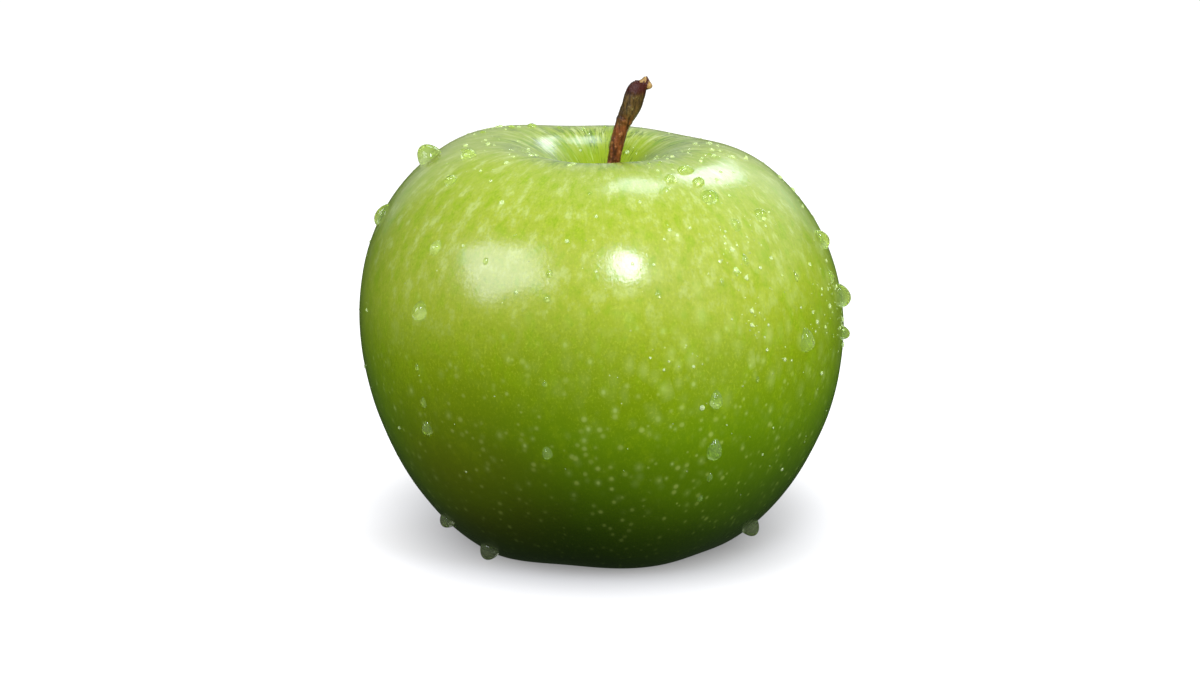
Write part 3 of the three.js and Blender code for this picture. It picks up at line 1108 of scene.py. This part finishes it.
def make_floor():
    """A white sweep that glows towards its far parts, so that no horizon shows, and glows less
    under the apple as a painted shadow.
    """
    material, net, shader = new_material("white sweep")
    place = net.out(net.add("ShaderNodeTexCoord"), "Object")
    tone = net.noise(place, 3.0, 2.0)
    net.feed(shader, "Base Color", net.mix(tone, (0.15, 0.15, 0.155, 1), (0.17, 0.17, 0.173, 1)))
    shader.inputs["Roughness"].default_value = 0.9
    shader.inputs["Specular IOR Level"].default_value = 0.1
    x, y, _ = net.separate(place)
    # The glow fades under the apple as a painted shadow, in an oval that lies a little behind its
    # middle.
    behind, flatness, inner, outer, faintest = 0.020, 0.66, 0.018, 0.053, 0.15
    away = net.vector("LENGTH", net.combine(x, (y - behind) * flatness, 0.0))
    glow_and_painted_shadow = net.step(away, inner, outer, faintest, 1.0)
    net.feed(shader, "Emission Color", net.combine(glow_and_painted_shadow, glow_and_painted_shadow, glow_and_painted_shadow))
    shader.inputs["Emission Strength"].default_value = 1.0
    mesh = bpy.data.meshes.new("floor")
    reach = 3.0
    corners = [(-reach, -reach, 0), (reach, -reach, 0), (reach, reach, 0), (-reach, reach, 0)]
    mesh.from_pydata(corners, [], [(0, 1, 2, 3)])
    mesh.materials.append(material)
    floor = bpy.data.objects.new("floor", mesh)
    bpy.context.scene.collection.objects.link(floor)
    floor.visible_glossy = False
    floor.visible_diffuse = False
    floor.visible_transmission = False
    floor.visible_shadow = False
    floor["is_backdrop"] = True


def make_world():
    """White behind the apple, and a dark room around it, as its skin reflects it."""
    world = bpy.data.worlds.new("studio")
    bpy.context.scene.world = world
    world.use_nodes = True
    net = Net(world.node_tree)
    room = world.node_tree.nodes["Background"]
    height = net.separate(net.out(net.add("ShaderNodeTexCoord"), "Generated"))[2]
    sky = net.step(height, -0.4, 0.8)
    net.feed(room, "Color", net.mix(sky, (0.025, 0.035, 0.02, 1), (0.105, 0.12, 0.09, 1)))
    room.inputs["Strength"].default_value = 1.0
    backdrop = net.add("ShaderNodeBackground", Color=(1, 1, 1, 1), Strength=1.0)
    seen = net.out(net.add("ShaderNodeLightPath"), "Is Camera Ray")
    both = net.add("ShaderNodeMixShader")
    net.feed(both, 0, seen)
    net.feed(both, 1, room.outputs[0])
    net.feed(both, 2, backdrop.outputs[0])
    ending = world.node_tree.nodes["World Output"]
    world.node_tree.links.new(both.outputs[0], ending.inputs["Surface"])


def make_camera(shift):
    """A long lens a little above the apple, as a studio sets it for fruit."""
    elevation, distance = math.radians(11), 0.56
    shift_x, shift_y = -0.0021, 0.0095
    camera = bpy.data.cameras.new("camera")
    camera.lens = 100
    camera.sensor_width = 36
    camera.shift_x = shift_x
    camera.shift_y = shift_y
    camera.clip_start = 0.01
    holder = bpy.data.objects.new("camera", camera)
    target = APPLE_MIDDLE + Vector((shift.x, shift.y, 0))
    away = Vector((0, -math.cos(elevation), math.sin(elevation)))
    holder.location = target + away * distance
    holder.rotation_euler = (math.pi / 2 - elevation, 0, 0)
    bpy.context.scene.collection.objects.link(holder)
    bpy.context.scene.camera = holder


# ---- The apple ----------------------------------------------------------------------

specks = specks_group()
meridians = meridian_group()
skin = make_skin_material(specks, meridians)
water = make_water_material("clear water", 0.96, 0.0)
spray_water = make_water_material("fine spray water", 0.74, 0.06)
bark = make_bark_material()
dried = make_dried_material()

fruit, shift = make_fruit(skin)
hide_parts("fruit")
surface = Surface(fruit)

stem = make_stem(shift, bark)
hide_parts("stem")

tuft_low, tuft_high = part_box("stamen_tuft")
basin_floor = Vector(((tuft_low.x + tuft_high.x) / 2, (tuft_low.y + tuft_high.y) / 2,
                      tuft_high.z + 0.3 * MM))
sepals = grown("dried_sepals", sepal_tree(), {"Leaf": dried})
stamens = grown("dried_stamens", stamen_tree(), {"Thread": dried})
for piece in (sepals, stamens):
    piece.data.transform(Matrix.Translation(basin_floor))
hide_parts(*[f"sepal_{i}" for i in range(1, SEPALS + 1)])
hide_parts("stamen_tuft")

bead_nodes = [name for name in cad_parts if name.startswith("water_bead_")]
beads = [bead_from_solid(i + 1, surface, water) for i in range(len(bead_nodes))]
beads += make_small_beads(surface, shift, water)
spray = grown("fine_spray", droplet_tree(), {"Water": spray_water}, fruit.data.copy())
for piece in (*beads, spray):
    piece.visible_shadow = False

slots = {"skin": [fruit], "bark": [stem], "dried_calyx": [sepals, stamens],
         "water": [*beads, spray]}
for slot, pieces in slots.items():
    for piece in pieces:
        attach(piece, "root")

make_floor()
make_world()
make_lamps()
make_camera(shift)
bpy.context.scene.view_settings.view_transform = "Standard"

sizes = [[list(corner) for corner in bounds] for bounds in (cad_bounds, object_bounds())]
